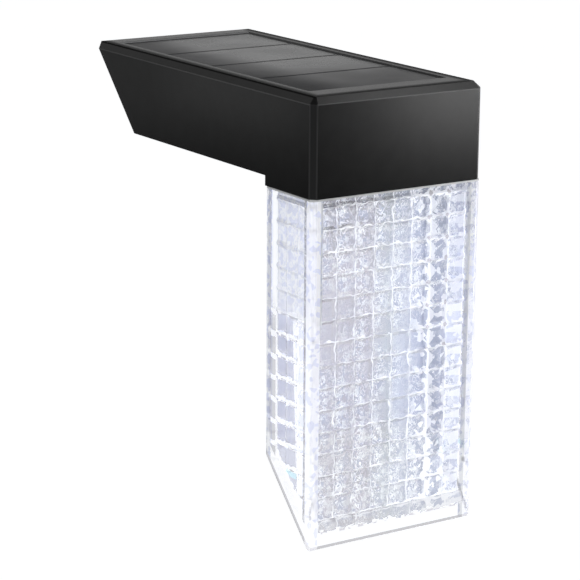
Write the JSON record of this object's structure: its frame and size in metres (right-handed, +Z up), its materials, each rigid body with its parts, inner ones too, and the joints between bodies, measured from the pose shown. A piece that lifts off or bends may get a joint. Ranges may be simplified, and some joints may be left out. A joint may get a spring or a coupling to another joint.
{
  "type": "fence light",
  "caption": "Solar fence light: flat black arm that lies on a fence rail, with a solar panel on top and a lit clear lens that hangs over the rail's front edge.",
  "frame": {"origin": "centre of the flat underside of the arm, which lies on the fence rail", "axes": "+Z up, -Y towards the front, where the lens hangs over the rail's edge, +X to the right of someone who looks along +Y at the lens"},
  "size_m": [0.056, 0.118, 0.1258],
  "materials": {
    "housing_black": "satin",
    "lens_clear": "polished, lit from inside",
    "seal_pale": "matt",
    "seal_black": "matt",
    "tape_black": "foam",
    "solar_board_black": "gloss",
    "solar_cell": "polished",
    "resin_clear": "gloss",
    "reflector_white": "satin",
    "board_white": "gloss",
    "led_lit": "lit",
    "screw_steel": "bright",
    "board_green": "gloss",
    "chip_black": "matt",
    "ferrite_grey": "matt",
    "can_aluminium": "satin",
    "switch_black": "matt",
    "stem_white": "satin",
    "cap_grey": "matt",
    "cell_sleeve": "printed film without text",
    "holder_black": "matt",
    "contact_steel": "plated",
    "lead_red": "satin",
    "lead_black": "satin"
  },
  "bodies": {
    "light": {"base_cover": "housing_black", "base_gasket": "seal_black", "battery": "cell_sleeve", "battery_holder": "holder_black", "battery_lead_black": "lead_black", "battery_lead_red": "lead_red", "battery_leaf": "contact_steel", "battery_plate": "contact_steel", "boost_inductor": "ferrite_grey", "control_board": "board_green", "control_board_screws": "screw_steel", "control_chip": "chip_black", "cover_screws": "screw_steel", "led_board": "board_white", "led_board_screws": "screw_steel", "led_chips": "led_lit", "led_lead_black": "lead_black", "led_lead_red": "lead_red", "lens": "lens_clear", "lens_gasket": "seal_pale", "panel_resin": "resin_clear", "panel_tape": "tape_black", "reflector": "reflector_white", "reservoir_capacitor": "can_aluminium", "solar_board": "solar_board_black", "solar_cells": "solar_cell", "solar_lead_black": "lead_black", "solar_lead_red": "lead_red", "switch_housing": "switch_black", "switch_seal": "seal_black", "top_housing": "housing_black"},
    "button": {"switch_stem": "stem_white", "switch_cap": "cap_grey"}
  },
  "joints": [
    {"name": "switch_press", "type": "slide", "parent": "light", "child": "button", "axis": [0, 0, 1], "range_m": [0, 0.0015], "stiffness_N_per_m": 800}
  ]
}
